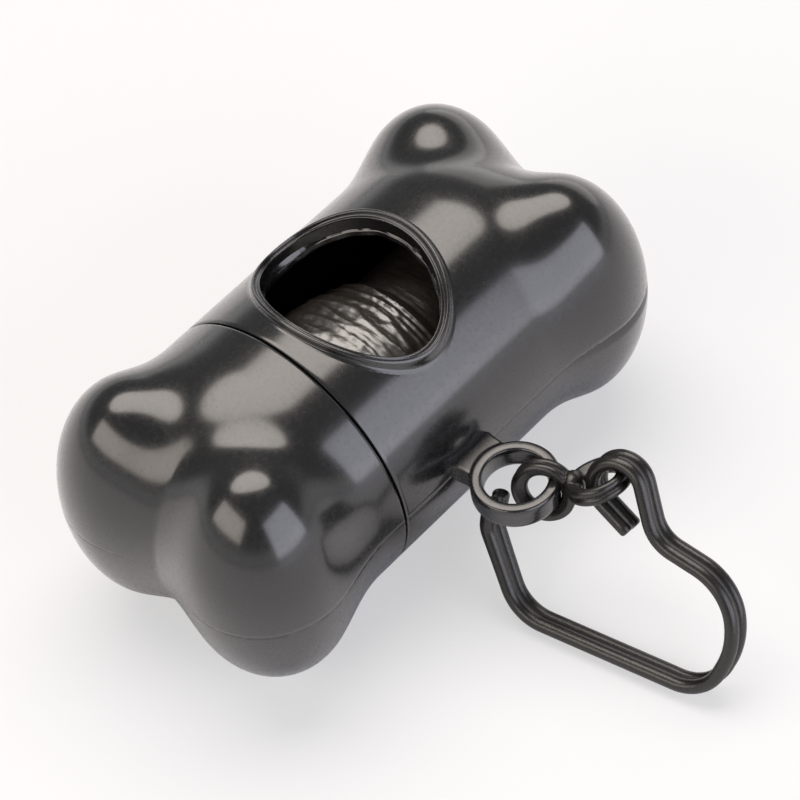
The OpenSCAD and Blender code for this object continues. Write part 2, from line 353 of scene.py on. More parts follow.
def fused(bm: Mesh, voxel: float, smoothing: int) -> Mesh:
    """Fuse overlapping forms into one skin with soft inside corners.

    Args:
        bm: the forms; it is freed.
        voxel: size of the remeshed faces, in millimetres.
        smoothing: number of smoothing steps.

    Returns:
        The fused mesh.
    """
    mesh = bpy.data.meshes.new("fusing")
    bm.to_mesh(mesh)
    bm.free()
    obj = in_scene("fusing", mesh)
    remesh = obj.modifiers.new("fuse", "REMESH")
    remesh.mode = "VOXEL"
    remesh.voxel_size = voxel
    smooth = obj.modifiers.new("soften", "SMOOTH")
    smooth.factor = 0.5
    smooth.iterations = smoothing
    graph = bpy.context.evaluated_depsgraph_get()
    made = bmesh.new()
    made.from_mesh(obj.evaluated_get(graph).data)
    bpy.data.objects.remove(obj)
    bpy.data.meshes.remove(mesh)
    return made


def joined(parts: Iterable[Mesh]) -> Mesh:
    """Put several meshes into one.

    Args:
        parts: the meshes; they are freed.

    Returns:
        The joined mesh.
    """
    whole = bmesh.new()
    for part in parts:
        mesh = bpy.data.meshes.new("joining")
        part.to_mesh(mesh)
        part.free()
        whole.from_mesh(mesh)
        bpy.data.meshes.remove(mesh)
    return whole


def cut_away(bm: Mesh, point: Sequence[float], normal: Sequence[float]) -> None:
    """Cut the mesh at a plane and keep one side.

    Args:
        bm: the mesh.
        point: a point of the plane.
        normal: direction towards the side that goes.
    """
    geom = bm.verts[:] + bm.edges[:] + bm.faces[:]
    bmesh.ops.bisect_plane(
        bm, geom=geom, dist=1e-5, plane_co=point, plane_no=normal, clear_outer=True
    )


def fill_rims(bm: Mesh, keep_hole: bool = False) -> None:
    """Close the open rims and point all faces outwards.

    Args:
        bm: the mesh.
        keep_hole: the mesh is a ring that was cut in its own plane, and its hole stays open.
    """
    rim = [e for e in bm.edges if e.is_boundary]
    if keep_hole:
        bmesh.ops.triangle_fill(bm, edges=rim, use_beauty=True)
    else:
        bmesh.ops.edgeloop_fill(bm, edges=rim)
    bmesh.ops.recalc_face_normals(bm, faces=bm.faces)


def to_object(
    bm: Mesh,
    name: str,
    body: str,
    finish: Finish,
    nodes: Sequence[str] = (),
    smooth_angle: float = 35.0,
) -> Object:
    """Turn a mesh in millimetres into a finished piece.

    Args:
        bm: the mesh; it is freed.
        name: the piece's name.
        body: the body that it moves with.
        finish: its material.
        nodes: CAD nodes that it stands for.
        smooth_angle: faces that meet at less than this, in degrees, are shaded smooth.

    Returns:
        The object.
    """
    bmesh.ops.transform(bm, matrix=Matrix.Scale(MM, 4), verts=bm.verts)
    mesh = bpy.data.meshes.new(name)
    bm.to_mesh(mesh)
    bm.free()
    mesh.shade_smooth()
    mesh.set_sharp_from_angle(angle=math.radians(smooth_angle))
    mesh.materials.append(finish.material())
    obj = in_scene(name, mesh)
    if nodes:
        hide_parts(*nodes)
    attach(obj, body)
    return obj


def tube_x(start: float, end: float, outer: float, inner: float, bevel: float) -> Mesh:
    """Make a tube along X by spinning its section, with its edges rounded.

    Args:
        start: where the tube starts along X.
        end: where it ends.
        outer: outside radius.
        inner: inside radius.
        bevel: width of the rounded edges.

    Returns:
        The mesh.
    """
    bm = bmesh.new()
    section = drawn_loop(bm, ((start, inner), (end, inner), (end, outer), (start, outer)))
    spin_round(bm, section, (1, 0, 0), 144)
    bevel_sharp(bm, bevel)
    return bm


# ---- The bone ----


@dataclass(frozen=True)
class BoneForm:
    """The bone's outside: a round barrel with two lobes blended into each end."""

    barrel_r: float = 20.0
    barrel_half: float = 17.8
    lobe_x: float = 28.8
    lobe_y: float = 10.6
    lobe_r: float = 11.4
    lobe_h: float = 18.5
    blend: float = 3.9
    crease_blend: float = 0.8
    wall: float = 1.8
    end_share: float = 0.36

    def distance(self, points: np.ndarray) -> np.ndarray:
        """Work out how far points are from the bone's skin.

        Args:
            points: rows of points.

        Returns:
            Their distances, less than zero inside the skin.
        """
        x, y, z = np.abs(points[:, 0]), np.abs(points[:, 1]), points[:, 2]
        core = np.sqrt(np.maximum(x - self.barrel_half, 0) ** 2 + y**2 + z**2) - self.barrel_r
        lobes = self._smooth_min(
            self._lobe(x, y - self.lobe_y, z), self._lobe(x, y + self.lobe_y, z), self.crease_blend
        )
        return self._smooth_min(core, lobes, self.blend)

    def _lobe(self, x: np.ndarray, y: np.ndarray, z: np.ndarray) -> np.ndarray:
        """Work out how far points are from one lobe, an upright ellipsoid.

        Args:
            x: the points' distance from the middle, along the bone.
            y: their distance from the lobe's axis, across the bone.
            z: their height.

        Returns:
            Their distances, less than zero inside the lobe.
        """
        half = np.array([self.lobe_r, self.lobe_r, self.lobe_h])
        q = np.stack([x - self.lobe_x, y, z], axis=1) / half
        size = np.linalg.norm(q, axis=1)
        return size * (size - 1) / np.linalg.norm(q / half, axis=1)

    @staticmethod
    def _smooth_min(a: np.ndarray, b: np.ndarray, k: float) -> np.ndarray:
        """Smooth minimum of two distances, with a blend k wide."""
        h = np.clip(0.5 + 0.5 * (b - a) / k, 0, 1)
        return b * (1 - h) + a * h - k * h * (1 - h)

    def skin(self) -> Mesh:
        """Make the whole bone's outside from a sphere whose poles lie on the long axis.

        Returns:
            The closed skin.
        """
        bm = bmesh.new()
        bmesh.ops.create_uvsphere(bm, u_segments=192, v_segments=200, radius=1.0)
        upright = Matrix.Rotation(math.pi / 2, 3, "Y")
        bmesh.ops.rotate(bm, verts=bm.verts, cent=(0, 0, 0), matrix=upright)
        unit = np.array([v.co for v in bm.verts])
        polar = np.arccos(np.clip(unit[:, 0], -1, 1)) / math.pi
        tilt = np.minimum(np.minimum(polar, 1 - polar) / self.end_share, 1.0) * (math.pi / 2)
        along = np.clip((0.5 - polar) / (0.5 - self.end_share), -1, 1)
        centre = np.zeros_like(unit)
        centre[:, 0] = along * self.barrel_half
        radial = unit[:, 1:] / np.maximum(np.linalg.norm(unit[:, 1:], axis=1), 1e-9)[:, None]
        way = np.column_stack([np.sign(0.5 - polar) * np.cos(tilt), radial * np.sin(tilt)[:, None]])
        reach = np.full(len(unit), 30.0)
        steps_inwards = 60
        for _ in range(steps_inwards):
            reach -= self.distance(centre + reach[:, None] * way)
        for vert, point in zip(bm.verts, centre + reach[:, None] * way):
            vert.co = point
        return bm


class Half(Enum):
    """The two halves that the body and the cap are each welded from."""

    UPPER = 1
    LOWER = -1


@dataclass
class Outlet:
    """The oval bag outlet with its raised rim."""

    form: BoneForm
    centre_x: float = 1.4
    half_length: float = 9.8
    half_width: float = 12.6
    hidden_edge: float = 0.9
    flash: float = 0.25

    def open(self, bm: Mesh) -> None:
        """Cut the outlet into the upper skin, with its edge hidden under the rim.

        Args:
            bm: the upper half of the body's outside.
        """
        a, b = self.half_length + self.hidden_edge, self.half_width + self.hidden_edge

        def from_centre(vert: bmesh.types.BMVert) -> tuple[float, float]:
            """Place of a vertex on the hidden oval, whose edge is 1 from its centre."""
            return (vert.co.x - self.centre_x) / a, vert.co.y / b

        inside = [v for v in bm.verts if v.co.z > 0 and math.hypot(*from_centre(v)) < 1]
        bmesh.ops.delete(bm, geom=inside, context="VERTS")
        widest_gap = 1.3
        for vert in bm.verts:
            if not vert.is_boundary or vert.co.z < 1:
                continue
            dx, dy = from_centre(vert)
            size = math.hypot(dx, dy)
            if size < widest_gap:
                vert.co.x = self.centre_x + a * dx / size
                vert.co.y = b * dy / size
                vert.co.z = math.sqrt(self.form.barrel_r**2 - vert.co.y**2)

    def rim(self) -> Mesh:
        """Make the rim: a bead outside, a shallow groove, a lip, and a collar with a ledge inside.

        Returns:
            The closed ring.
        """
        # The section, as distance outwards from the opening and height over the barrel
        section = np.array([
            (0.0, -2.7), (0.0, -2.1), (0.02, -1.98), (0.1, -1.88), (0.13, -1.72), (0.13, -0.6),
            (0.13, 0.02), (0.15, 0.16), (0.21, 0.27), (0.31, 0.31), (0.42, 0.26), (0.54, 0.22),
            (0.66, 0.28), (0.78, 0.46), (0.87, 0.66), (0.97, 0.81), (1.1, 0.88), (1.25, 0.87),
            (1.37, 0.79), (1.44, 0.64), (1.48, 0.42), (1.53, 0.22), (1.64, 0.09), (1.84, 0.02),
            (2.1, -0.05), (2.1, -0.4), (1.6, -1.1), (1.2, -2.4), (1.0, -2.7), (0.5, -2.75),
        ])
        section = self._rounded(section, 3)
        count = len(section)

        def place(u: np.ndarray, v: np.ndarray) -> np.ndarray:
            """Lay the section round the oval, on the barrel's curve.

            Args:
                u: shares of the way round the oval.
                v: shares of the way round the section.

            Returns:
                Rows of points.
            """
            index = np.rint(v * count).astype(int) % count
            out, up = section[index, 0].copy(), section[index, 1].copy()
            turn = math.tau * u
            ledge = (up < -1.8) & (out < 0.2)
            uneven = self.flash * (0.5 + 0.5 * np.sin(5 * turn) * np.sin(13 * turn + 1))
            out[ledge] -= uneven[ledge]
            x = self.centre_x + (self.half_length + out) * np.cos(turn)
            y = (self.half_width + out) * np.sin(turn)
            return np.column_stack([x, y, np.sqrt((self.form.barrel_r + up) ** 2 - y**2)])

        bm = mapped_grid(224, count, place)
        bmesh.ops.recalc_face_normals(bm, faces=bm.faces)
        return bm

    @staticmethod
    def _rounded(section: np.ndarray, pieces: int) -> np.ndarray:
        """Draw a smooth curve through a closed section's points.

        Args:
            section: rows of the section's points.
            pieces: number of steps between two points.

        Returns:
            Rows of the finer section.
        """
        a, b, c, d = (np.roll(section, shift, axis=0) for shift in (1, 0, -1, -2))
        finer = []
        for t in (k / pieces for k in range(pieces)):
            bend = (2 * a - 5 * b + 4 * c - d) + t * (3 * (b - c) + d - a)
            finer.append(b + 0.5 * t * ((c - a) + t * bend))
        return np.stack(finer, axis=1).reshape(-1, 2)


@dataclass
class Eyelet:
    """The flat ring on the body's side, with the foot that joins it to the barrel."""

    form: BoneForm
    centre_y: float = -27.3
    hole_r: float = 4.2
    bar: float = 1.7
    thickness: float = 3.4
    foot_width: float = 6.6
    foot_flare: float = 0.5
    foot_step: float = 0.15
    squareness: float = 0.42
    voxel: float = 0.13

    def build(self) -> Mesh:
        """Fuse the ring and its foot.

        Returns:
            The whole eyelet, both halves together.
        """
        ring = bmesh.new()
        middle = self.hole_r + self.bar / 2
        upright = Matrix.Rotation(math.pi / 2, 4, "X")
        bmesh.ops.create_circle(ring, segments=28, radius=1.0, matrix=upright)
        for vert in ring.verts:
            x, z = vert.co.x, vert.co.z
            vert.co.x = middle + math.copysign(abs(x) ** self.squareness, x) * self.bar / 2
            vert.co.z = math.copysign(abs(z) ** self.squareness, z) * self.thickness / 2
        spin_round(ring, ring.verts[:] + ring.edges[:], (0, 0, 1), 96)
        foot = bmesh.new()
        bmesh.ops.create_cube(foot, size=1.0)
        bmesh.ops.subdivide_edges(foot, edges=foot.edges[:], cuts=7, use_grid_fill=True)
        near_r, far = self.hole_r + 0.4, -self.centre_y - self.form.barrel_r + 1.0
        for vert in foot.verts:
            share = vert.co.y + 0.5
            x = 2 * vert.co.x * (self.foot_width / 2 + self.foot_flare * share**3)
            near = math.sqrt(near_r**2 - min(abs(x), 0.9 * near_r) ** 2)
            y = near + (far - near) * share
            vert.co = (x, y, vert.co.z * (self.thickness - 2 * self.foot_step))
        bevel_sharp(foot, 0.25, sharp=60)
        whole = fused(joined([ring, foot]), self.voxel, 5)
        bmesh.ops.translate(whole, verts=whole.verts, vec=(0, self.centre_y, 0))
        return whole


@dataclass
class Shells:
    """The four moulded shells: the body's and the cap's upper and lower halves."""

    form: BoneForm = field(default_factory=BoneForm)
    seam_x: float = -12.7
    seam_gap: float = 0.25
    seam_edge: float = 0.28
    edge: float = 0.13
    weld_start: float = 18.0
    weld_side: float = 4.0
    weld_taper: float = 9.0
    weld_open: float = 0.06
    weld_depth: float = 0.40

    def half_shell(self, body: bool, half: Half, outlet: Outlet | None) -> Mesh:
        """Make one shell with its wall.

        Args:
            body: the body's side of the seam, otherwise the cap's.
            half: upper or lower half.
            outlet: the outlet to cut, if this half has it.

        Returns:
            The closed shell.
        """
        bm = self.form.skin()
        seam = self.seam_x if body else self.seam_x - self.seam_gap
        cut_away(bm, (seam, 0, 0), (-1 if body else 1, 0, 0))
        cut_away(bm, (0, 0, 0), (0, 0, -half.value))
        if outlet:
            outlet.open(bm)
        bmesh.ops.solidify(bm, geom=bm.faces[:], thickness=self.form.wall)
        bevel_sharp(bm, self.seam_edge, near_x=seam)
        bevel_sharp(bm, self.edge)
        if body:
            self._open_weld(bm, half)
        return bm

    def _open_weld(self, bm: Mesh, half: Half) -> None:
        """Leave the weld a little open round the lobe on the eyelet's side, as the real one is.

        Args:
            bm: the body's shell, with its edges rounded.
            half: upper or lower half.
        """
        near = [v for v in bm.verts if abs(v.co.z) < 1.6 * self.edge]
        near = [v for v in near if v.co.y < self.weld_side and v.co.x > self.weld_start]
        points = np.array([v.co for v in near])
        step, inner_skin = 0.01, -0.4
        slope = np.stack([
            self.form.distance(points + shift) - self.form.distance(points - shift)
            for shift in np.eye(3)[:2] * step
        ], axis=1) / (2 * step)
        for vert, depth, (gx, gy) in zip(near, self.form.distance(points), slope):
            share = min((vert.co.x - self.weld_start) / self.weld_taper, 1)
            if depth < inner_skin:
                continue
            if abs(vert.co.z) > 0.1 * self.edge:
                vert.co.z += half.value * self.weld_open * share
            else:
                vert.co.x -= gx * self.weld_depth * share
                vert.co.y -= gy * self.weld_depth * share

    def build(self) -> list[Object]:
        """Build and dress the four shells.

        Returns:
            The pieces.
        """
        outlet = Outlet(self.form)
        eyelet = Eyelet(self.form)
        pieces = []
        for half, word in ((Half.UPPER, "upper"), (Half.LOWER, "lower")):
            parts = [self.half_shell(True, half, outlet if half is Half.UPPER else None)]
            if half is Half.UPPER:
                parts.append(outlet.rim())
            lug = eyelet.build()
            cut_away(lug, (0, 0, 0), (0, 0, -half.value))
            fill_rims(lug, keep_hole=True)
            bevel_sharp(lug, 0.05, sharp=60)
            parts.append(lug)
            cap = self.half_shell(False, half, None)
            for bm, side, body in ((joined(parts), "body", "bone"), (cap, "cap", "cap")):
                name, nodes = f"{side}_{word}_moulding", [f"{side}_{word}_shell"]
                pieces.append(to_object(bm, name, body, MOULDED_PP, nodes))
        return pieces


# ---- Neck and threads ----


@dataclass
class ScrewJoint:
    """The threaded neck in the body and the threaded ring in the cap."""

    seam_x: float = -12.7
    neck_len: float = 8.4
    neck_seat: float = 2.7
    neck_r: float = 16.2
    neck_bore_r: float = 14.7
    collar_r: float = 18.1
    thread_h: float = 0.9
    thread_sunk: float = 0.2
    crest_share: float = 0.35
    pitch: float = 3.0
    ring_start: float = -13.35
    ring_len: float = 4.2
    ring_outer: float = 18.15
    ring_bore: float = 17.32

    def helix(self, root: float, crest: float, start: float, turns: float, width: float) -> Mesh:
        """Wind a thread's ridge about X by spinning its section with a step along the axis.

        Args:
            root: radius at which the ridge is sunk into its wall.
            crest: radius of its top.
            start: where it starts along X.
            turns: number of turns.
            width: width of the ridge at its root.

        Returns:
            The closed ridge.
        """
        bm = bmesh.new()
        top = width * self.crest_share
        corners = ((-width / 2, root), (-top / 2, crest), (top / 2, crest), (width / 2, root))
        section = drawn_loop(bm, [(start + x, r) for x, r in corners])
        steps = int(96 * turns)
        advance = (-self.pitch * turns / steps, 0, 0)
        bmesh.ops.spin(
            bm, geom=section, cent=(0, 0, 0), axis=(-1, 0, 0), dvec=advance,
            angle=math.tau * turns, steps=steps,
        )
        fill_rims(bm)
        return bm

    def build(self) -> list[Object]:
        """Build and dress the neck, the cap's ring and the two threads.

        Returns:
            The pieces.
        """
        seam, seat, bore = self.seam_x, self.seam_x + self.neck_seat, self.neck_bore_r
        neck = tube_x(seam - self.neck_len, seat, self.neck_r, bore, 0.3)
        collar = tube_x(seam + 0.02, seat, self.collar_r, bore + 0.1, 0.1)
        crest = self.neck_r + self.thread_h
        thread = self.helix(self.neck_r - self.thread_sunk, crest, seam - 1.6, 1.9, 1.5)
        start = self.ring_start
        ring = tube_x(start - self.ring_len, start, self.ring_outer, self.ring_bore, 0.12)
        crest = self.ring_bore - self.thread_h
        ridge = self.helix(self.ring_bore + self.thread_sunk, crest, start - 1.75, 0.62, 1.0)
        whole = joined([neck, collar, thread])
        return [
            to_object(whole, "threaded_neck", "bone", MOULDED_PP, ["neck_ring"]),
            to_object(
                ring, "cap_ring_moulding", "cap_ring", MOULDED_PP, ["cap_thread_ring"]
            ),
            to_object(ridge, "cap_thread_ridge", "cap", MOULDED_PP),
        ]


# ---- Bag roll ----


@dataclass
class BagRoll:
    """The roll of folded film on its core."""

    length: float = 57.0
    radius: float = 11.75
    core_r: float = 6.5
    core_bore: float = 5.6
    drop: float = 2.2
    crease: float = 0.22
    layer_gap: float = 0.42
    layer_step: float = 0.22
    swell: float = 2.0
    swell_start: float = -9.5
    swell_run: float = 6.5
    slope_run: float = 8.0
    slope_end: float = 9.5
    fold_end: float = 8.2
    fold_step: float = 0.8
    # Where along X a fold's edge shows, and how high it stands
    fold_ridges: tuple[tuple[float, float], ...] = ((6.1, 0.34), (7.5, 0.38))
    ridge_width: float = 0.32

    def build(self) -> list[Object]:
        """Build and dress the film and its core.

        Returns:
            The pieces.
        """
        film = mapped_grid(320, 240, self._film_points)
        ends = self._wound_ends(film)
        bmesh.ops.recalc_face_normals(ends, faces=ends.faces)
        bmesh.ops.translate(ends, verts=ends.verts, vec=(0, 0, -self.drop))
        core = tube_x(-self.length / 2, self.length / 2, self.core_r, self.core_bore, 0.15)
        bmesh.ops.translate(core, verts=core.verts, vec=(0, 0, -self.drop))
        return [
            to_object(ends, "rolled_film", "roll", BAG_FILM, ["bag_roll"], smooth_angle=60),
            to_object(core, "core_tube", "roll", CORE_TUBE, ["roll_core"]),
        ]

    def _film_points(self, u: np.ndarray, v: np.ndarray) -> np.ndarray:
        """Lay the creased outside of the roll, with the steps where its folds end.

        Args:
            u: shares of the way round the roll.
            v: shares of the way along it.

        Returns:
            Rows of points.
        """
        turn = math.tau * u
        x = (v - 0.5) * (self.length - 0.6)
        creased = np.array([self._creased(along, t) for along, t in zip(x, turn)])
        rise = np.clip((x - self.swell_start) / self.swell_run, 0, 1)
        rise = rise * np.clip((self.slope_end - x) / self.slope_run, 0, 1)
        out = self.swell * rise**2 * (3 - 2 * rise)
        for at, height in self.fold_ridges:
            ridge = (x - at - 0.35 * np.sin(turn + at)) / self.ridge_width
            out += height * np.exp(-(ridge**2))
        beyond = np.clip((x - self.fold_end) / 0.8, 0, 1)
        r = self.radius + self.crease * creased * (1 - 0.7 * beyond) + out - self.fold_step * beyond
        return np.column_stack([x, r * np.cos(turn), r * np.sin(turn)])

    @staticmethod
    def _creased(along: float, turn: float) -> float:
        """Work out the height of the film's creases and slack at one point of the roll.

        Args:
            along: the point's x.
            turn: its angle round the roll, in radians.

        Returns:
            The height, in crease depths.
        """
        c, s = math.cos(turn), math.sin(turn)

        def wrinkle(at: float, around: float) -> float:
            """Noise at a place along the roll, on a circle whose radius is around."""
            return noise.noise(Vector((at, c * around, s * around)))

        bent = along + 0.5 * wrinkle(along * 0.5, 3.0)
        long_crease = 1 - 2.6 * abs(wrinkle(bent * 0.62, 1.7))
        cross_crease = 0.5 - abs(wrinkle(bent * 0.8 + 40, 8.0))
        fine_crease = 0.5 - abs(wrinkle(bent * 2.1 + 90, 11.0))
        slack = wrinkle(along * 0.14 + 9, 0.9)
        return 0.9 * long_crease + 0.8 * cross_crease + 1.2 * slack + 0.35 * fine_crease

    def _wound_ends(self, film: Mesh) -> Mesh:
        """Close the roll's two ends with the steps of its wound layers, in to the core.

        Args:
            film: the open outside of the roll; it is changed.

        Returns:
            The closed film.
        """
        for side in (-1, 1):
            rim = [e for e in film.edges if e.is_boundary and e.verts[0].co.x * side > 0]
            radius = self.radius - 0.4 - (self.fold_step if side > 0 else 0)
            step = side * -self.layer_step
            while radius > self.core_r + 0.2:
                rim = self._next_layer(film, rim, radius, step)
                step = -step
                radius -= self.layer_gap
            self._next_layer(film, rim, self.core_r + 0.02, 0)
        open_rims = [e for e in film.edges if e.is_boundary]
        bmesh.ops.bridge_loops(film, edges=open_rims)
        return film

    @staticmethod
    def _next_layer(
        film: Mesh, rim: list[bmesh.types.BMEdge], radius: float, step: float
    ) -> list[bmesh.types.BMEdge]:
        """Extrude an end's rim inwards, a step along X.

        Args:
            film: the film.
            rim: the edges of the rim.
            radius: radius of the new rim.
            step: how far along X the new rim lies.

        Returns:
            The edges of the new rim.
        """
        new = bmesh.ops.extrude_edge_only(film, edges=rim)["geom"]
        rim = [g for g in new if isinstance(g, bmesh.types.BMEdge)]
        for vert in {v for e in rim for v in e.verts}:
            vert.co.yz = vert.co.yz.normalized() * radius
            vert.co.x += step
        return rim


# ---- Link and clip ----


@dataclass
class TwistedLink:
    """The figure-8 link whose two loops stand at right angles."""

    loop_r: float = 3.1
    bar: float = 1.6
    yaw: float = -60.5
    pitch: float = 23.0
    twist: float = -18.0
    back: float = 1.5
    knot: float = 0.78
    knot_scale: tuple[float, float, float] = (1.05, 1.55, 1.55)
    knot_shift: float = 0.4
    bead_at: float = 3.72
    bead_z: float = 0.58
    bead_r: float = 0.62
    groove_share: float = 0.42
    eyelet_bar_r: float = 5.05
    eyelet_y: float = -27.3
    voxel: float = 0.10

    @property
    def step(self) -> float:
        """Distance between the two loops' centres."""
        return 2 * self.loop_r + self.bar

    @property
    def pivot(self) -> Vector:
        """Middle of the eyelet's bar, where the link hangs."""
        yaw, r = math.radians(self.yaw), self.eyelet_bar_r
        return Vector((r * math.cos(yaw), self.eyelet_y + r * math.sin(yaw), 0))

    @property
    def direction(self) -> Vector:
        """Direction of the link's length.

        Returns:
            The unit vector from the eyelet's bar to the clip's eye.
        """
        yaw, pitch = math.radians(self.yaw), math.radians(self.pitch)
        level = math.cos(pitch)
        return Vector((level * math.cos(yaw), level * math.sin(yaw), math.sin(pitch)))

    @property
    def outer_bar(self) -> Vector:
        """The point of the outer loop that the clip's eye goes round."""
        return self.pivot + self.direction * (1.5 * self.step - self.back)

    def placing(self) -> Matrix:
        """Put the link, built along X, in its place.

        Returns:
            The matrix.
        """
        turn = (
            Matrix.Rotation(math.radians(self.yaw), 4, "Z")
            @ Matrix.Rotation(math.radians(-self.pitch), 4, "Y")
            @ Matrix.Rotation(math.radians(self.twist), 4, "X")
        )
        return Matrix.Translation(self.pivot) @ turn @ Matrix.Translation((-self.back, 0, 0))

    def loop(self, at: Matrix) -> Mesh:
        """Spin one loop, round inside and with two beads outside, and put it in its place.

        Args:
            at: the matrix of its place.

        Returns:
            The closed ring.
        """
        bm = bmesh.new()
        inner, bead = self.bar / 2, self.bead_r
        inside, outside = np.radians(np.arange(116, 245, 16)), np.radians(np.arange(-112, 58, 17))
        section = [(self.loop_r + inner * math.cos(a), inner * math.sin(a)) for a in inside]
        low = [
            (self.bead_at + bead * math.cos(a), -self.bead_z + bead * math.sin(a)) for a in outside
        ]
        groove = [(self.bead_at + bead * self.groove_share, 0.0)]
        high = [(x, -z) for x, z in reversed(low)]
        spin_round(bm, drawn_loop(bm, section + low + groove + high), (0, 0, 1), 72)
        bmesh.ops.transform(bm, matrix=at, verts=bm.verts)
        return bm

    def build(self) -> Object:
        """Build and dress the link.

        Returns:
            The piece.
        """
        first = self.loop(Matrix.Rotation(math.pi / 2, 4, "X"))
        second = self.loop(Matrix.Translation((self.step, 0, 0)))
        knot = bmesh.new()
        place = Matrix.Translation((self.step / 2 + self.knot_shift, 0, 0))
        place = place @ Matrix.Diagonal((*self.knot_scale, 1.0))
        bmesh.ops.create_icosphere(knot, subdivisions=3, radius=self.bar * self.knot, matrix=place)
        whole = fused(joined([first, second, knot]), self.voxel, 4)
        bmesh.ops.transform(whole, matrix=self.placing(), verts=whole.verts)
        nodes = ["twisted_link"]
        return to_object(whole, "figure_8_link", "link", MOULDED_ACETAL, nodes)


@dataclass
class ClipHook:
    """The open clip, bent from a strip with a round bead along each edge."""

    link: TwistedLink
    width: float = 4.0
    bead: float = 1.9
    web: float = 1.2
    groove: float = 0.14
    tip_flare: float = 0.22
    back: float = 27.6
    front: float = 17.8
    eye_r: float = 3.5
    yaw: float = -80.0
    slope: float = 65.0
    ground: float = -20.0
    eye_u: float = 6.4
    eye_turn: float = 71.2
    eye_start: float = 26.1
    station: float = 0.45
    flare_len: float = 9.0

    @property
    def bead_z(self) -> float:
        """Height of the beads over the clip's mid-plane."""
        return (self.width - self.bead) / 2

    def axes(self) -> tuple[Vector, Vector, Vector]:
        """Work out how the clip lies.

        Returns:
            The directions along its back, up its plane and across it.
        """
        yaw, slope = math.radians(self.yaw), math.radians(self.slope)
        u = Vector((math.cos(yaw), math.sin(yaw), 0))
        level = math.cos(slope)
        s = Vector((-math.sin(yaw) * level, math.cos(yaw) * level, math.sin(slope)))
        return u, s, u.cross(s)

    def eye_centre(self) -> Vector:
        """Centre of the eye that goes round the link."""
        u, s, across = self.axes()
        return self.link.outer_bar - 0.4 * u - 1.4 * s + 0.2 * across

    def eye_s(self) -> float:
        """Height of the eye's centre in the clip's plane, with the clip standing on its back."""
        back_z = self.bead_z * math.cos(math.radians(self.slope)) + self.bead / 2 + self.ground
        return (self.eye_centre().z - back_z) / self.axes()[1].z

    def corners(self) -> list[tuple[Vector, float]]:
        """List the corners of the strip's middle line in the clip's plane.

        They run from the free tip along the back, up the nose and back along the front, round the
        eye, and end at the cut tail.

        Returns:
            The corners, each with its fillet radius.
        """
        middle = Vector((self.eye_u, self.eye_s()))
        reach = self.eye_r / math.cos(math.radians(self.eye_turn / 2))
        eye = []
        for k in range(3):
            a = math.radians(self.eye_start + self.eye_turn * (k + 0.5))
            eye.append((middle + reach * Vector((math.cos(a), math.sin(a))), self.eye_r))
        tip, heel, toe = -10.4, -4.2, self.back - 4.2
        return [
            (Vector((tip, 14.6)), 0.0),
            (Vector((tip, 10.6)), 3.0),
            (Vector((heel, 0)), 6.5),
            (Vector((toe, 0)), 6.0),
            (Vector((self.back - 1.6, self.front / 2 - 0.3)), 11.0),
            (Vector((toe, self.front - 1.6)), 8.0),
            (Vector((self.eye_u + 6.2, self.front + 0.6)), 5.2),
            *eye,
            (Vector((self.eye_u + 2.25, self.front + 0.6)), 0.0),
        ]

    def middle_line(self) -> np.ndarray:
        """Walk the rounded corners.

        Returns:
            Rows of x, y and heading in radians.
        """
        corners = self.corners()
        rows: list[tuple[float, float, float]] = []
        for i, (point, radius) in enumerate(corners):
            if radius == 0:
                other = corners[1][0] - point if i == 0 else point - corners[i - 1][0]
                rows.append((point.x, point.y, math.atan2(other.y, other.x)))
                continue
            into, out = point - corners[i - 1][0], corners[i + 1][0] - point
            h0, h1 = math.atan2(into.y, into.x), math.atan2(out.y, out.x)
            turn = (h1 - h0 + math.pi) % math.tau - math.pi
            side = math.copysign(1, turn)
            start = point - radius * math.tan(abs(turn) / 2) * into.normalized()
            centre = start + side * radius * Vector((-math.sin(h0), math.cos(h0)))
            count = max(4, round(abs(turn) * radius / self.station))
            for h in (h0 + turn * k / count for k in range(count + 1)):
                out = side * radius
                rows.append((centre.x + out * math.sin(h), centre.y - out * math.cos(h), h))
        return self._filled_in(np.array(rows), self.station)

    @staticmethod
    def _filled_in(rows: np.ndarray, step: float) -> np.ndarray:
        """Add stations to the straight runs, so that all of them are about one step apart.

        Args:
            rows: rows of x, y and heading.
            step: distance between two stations.

        Returns:
            The longer list of rows.
        """
        filled = [rows[0]]
        for before, after in zip(rows[:-1], rows[1:]):
            count = max(1, round(math.hypot(*(after - before)[:2]) / (2 * step)))
            for k in range(1, count + 1):
                share = k / count
                turn = (after[2] - before[2] + math.pi) % math.tau - math.pi
                point = before + (after - before) * share
                point[2] = before[2] + turn * share
                filled.append(point)
        return np.array(filled)

    def section(self) -> np.ndarray:
        """Outline of the strip: two round beads joined by a thinner web.

        Returns:
            Rows of distance across the strip and height over its mid-plane.
        """
        r, web = self.bead / 2, self.web / 2 - self.groove
        angles = np.radians(np.arange(-128, 129, 16))
        bead = [(r * math.sin(a), self.bead_z + r * math.cos(a)) for a in angles]
        shoulder = self.bead_z * 0.32
        flank = [(web + 0.06, shoulder), (web, 0.0), (web + 0.06, -shoulder)]
        half = bead + flank
        return np.array(half + [(-x, -z) for x, z in half])

    def build(self) -> Object:
        """Build and dress the clip.

        Returns:
            The piece.
        """
        line, outline = self.middle_line(), self.section()
        stations, count = len(line) - 1, len(outline)

